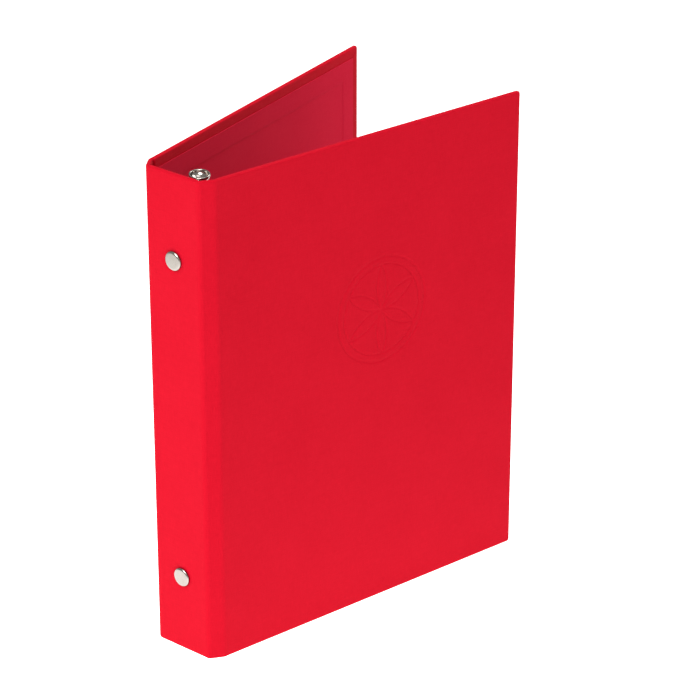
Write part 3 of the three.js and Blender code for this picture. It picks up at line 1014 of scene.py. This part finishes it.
def repaint(nodes, material, width):
    """A better material and softened edges for CAD nodes that stay."""
    for name in nodes:
        obj = frame["nodes"][name]
        obj.data.materials.clear()
        obj.data.materials.append(material)
        modifier = obj.modifiers.new("edges", "BEVEL")
        modifier.width = width
        modifier.segments = 2
        modifier.angle_limit = math.radians(50)


# ------------------------------------------------------------------ camera and studio
CAMERA_AZIMUTH = math.radians(40.44)
CAMERA_ELEVATION = math.radians(24.77)
CAMERA_DISTANCE = 1.2915
CAMERA_TARGET = Vector((0.04573, 0.060, 0.13971))
CAMERA_LENS = 152.85
LIGHT_TARGET = Vector((0.03, 0.06, 0.1))
FLOOR_REACH = 8.0
GLOW_REACH = 0.55                          # where the floor's own light has faded


def looking_back(azimuth, elevation):
    """The way from the object to something that looks at it; azimuth 0 is in front of the spine."""
    return Vector((
        math.sin(azimuth) * math.cos(elevation),
        -math.cos(azimuth) * math.cos(elevation),
        math.sin(elevation),
    ))


def aim(obj, target, back, distance):
    bpy.context.scene.collection.objects.link(obj)
    obj.location = target + distance * back
    obj.rotation_euler = back.to_track_quat("Z", "Y").to_euler()


def build_camera():
    """A long lens a little above the top edge, looking past the spine's front corner."""
    data = bpy.data.cameras.new("camera")
    data.lens = CAMERA_LENS
    data.sensor_width = 36
    camera = bpy.data.objects.new("camera", data)
    aim(camera, CAMERA_TARGET, looking_back(CAMERA_AZIMUTH, CAMERA_ELEVATION), CAMERA_DISTANCE)
    bpy.context.scene.camera = camera


def area_light(name, azimuth, elevation, distance, size, energy):
    """A square soft light; its angles in degrees."""
    data = bpy.data.lights.new(name, "AREA")
    data.shape = "SQUARE"
    data.size = size
    data.energy = energy
    light = bpy.data.objects.new(name, data)
    aim(light, LIGHT_TARGET, looking_back(math.radians(azimuth), math.radians(elevation)), distance)


def build_studio():
    """White surroundings, a pale floor that glows as painted light, brightest round the object, and three
    large soft lights.
    """
    scene = bpy.context.scene
    scene.view_settings.view_transform = "Standard"
    world = bpy.data.worlds.new("studio")
    world.use_nodes = True
    tree = world.node_tree
    background = tree.nodes["Background"]
    where = add(tree, "ShaderNodeTexCoord").outputs["Generated"]
    height = add(tree, "ShaderNodeSeparateXYZ", Vector=where).outputs["Z"]
    sky = add(tree, "ShaderNodeMapRange", Value=height, From_Max=0.14, To_Min=1.0, To_Max=0.45)
    tree.links.new(sky.outputs["Result"], background.inputs["Strength"])
    background.inputs["Color"].default_value = (1, 1, 1, 1)
    scene.world = world
    area_light("key", azimuth=4, elevation=40, distance=2.2, size=1.2, energy=50)
    area_light("top", azimuth=0, elevation=85, distance=1.6, size=0.8, energy=5)
    area_light("back", azimuth=165, elevation=50, distance=2.2, size=1.2, energy=30)
    corners = [
        (x * FLOOR_REACH, y * FLOOR_REACH, 0) for x, y in ((-1, -1), (1, -1), (1, 1), (-1, 1))
    ]
    floor = make_object("floor", corners, [(0, 1, 2, 3)])
    floor.location.z = CAD_LOW.z
    material, tree, shader = new_material("floor", Roughness=0.9)
    shader.inputs["Base Color"].default_value = (0.8, 0.8, 0.8, 1)
    # Painted light: the floor glows, brightest round the object, so it lights the object from below and
    # washes out its shadow on the floor.
    shader.inputs["Emission Color"].default_value = (1, 1, 1, 1)
    place_on = add(tree, "ShaderNodeTexCoord").outputs["Object"]
    away = add(tree, "ShaderNodeVectorMath", {"operation": "LENGTH"}, i0=place_on).outputs["Value"]
    painted_floor_glow = add(tree, "ShaderNodeMapRange", Value=away, From_Max=GLOW_REACH, To_Min=1.5, To_Max=0.6)
    painted_floor_glow.interpolation_type = "SMOOTHSTEP"
    tree.links.new(painted_floor_glow.outputs["Result"], shader.inputs["Emission Strength"])
    floor.data.materials.append(material)


build_camera()
build_studio()
cloth_red = woven(
    "cover_cloth", pitch=0.42 * MM, depth=0.06 * MM, roughness=(0.72, 0.6),
    low=(0.375, 0.0018, 0.0100), high=(0.49, 0.0046, 0.0172),
)
lining_red = woven(
    "lining", pitch=0.3 * MM, depth=0.03 * MM, roughness=(0.9, 0.8),
    low=(0.47, 0.0085, 0.031), high=(0.56, 0.0155, 0.042),
)
grey = fibrous("greyboard", low=(0.20, 0.18, 0.155), high=(0.42, 0.39, 0.345))
nickel = plated(
    "nickel", low=(0.27, 0.245, 0.215), high=(0.37, 0.345, 0.315), roughness=(0.10, 0.26), grain=900.0,
)
steel = plated(
    "spring_steel", low=(0.30, 0.30, 0.295), high=(0.42, 0.42, 0.41), roughness=(0.24, 0.5), grain=1800.0,
)

build_case(cloth_red, lining_red)
build_housing(nickel)
build_rings(nickel)
build_levers(nickel)
build_rivets(nickel)
repaint(("spine_board", "front_board", "back_board"), grey, 0.8 * MM)
repaint(("front_blade", "back_blade", "top_post", "bottom_post"), steel, 0.15 * MM)
